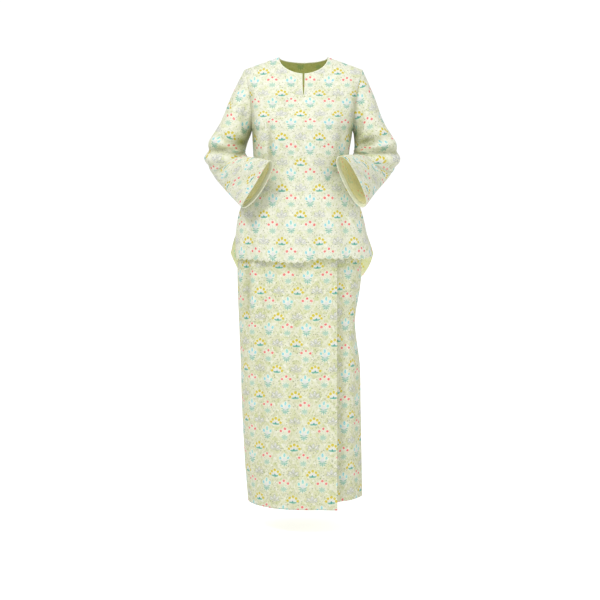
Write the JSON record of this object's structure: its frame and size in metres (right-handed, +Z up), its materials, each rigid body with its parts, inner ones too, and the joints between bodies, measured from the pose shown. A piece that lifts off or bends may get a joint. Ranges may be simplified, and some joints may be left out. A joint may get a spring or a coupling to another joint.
{
  "type": "baju kurung",
  "caption": "Worn baju kurung with no wearer: hollow long-sleeved floral cotton blouse with a front neck slit and longer back hem, over an ankle-length wrap-front skirt.",
  "frame": {"origin": "on the wearer, level with the blouse's high shoulder points and centred between them, where the shoulders hold the garment", "axes": "+Z up, the front faces -Y, +X is the viewer's right seen from the front"},
  "size_m": [0.6034, 0.3367, 1.3865],
  "materials": {
    "blouse_cotton": "matt printed cotton, pale ground with small flowers",
    "skirt_cotton": "matt printed cotton, slightly deeper ground",
    "trim_cotton": "matt plain cotton"
  },
  "bodies": {
    "root": {"blouse_front": "blouse_cotton", "blouse_back": "blouse_cotton", "sleeve_right": "blouse_cotton", "sleeve_left": "blouse_cotton", "cuff_hem_right": "trim_cotton", "cuff_hem_left": "trim_cotton", "neck_binding": "trim_cotton", "skirt_over": "skirt_cotton", "skirt_under": "skirt_cotton", "skirt_back": "skirt_cotton", "skirt_waistband": "skirt_cotton"}
  },
  "joints": []
}
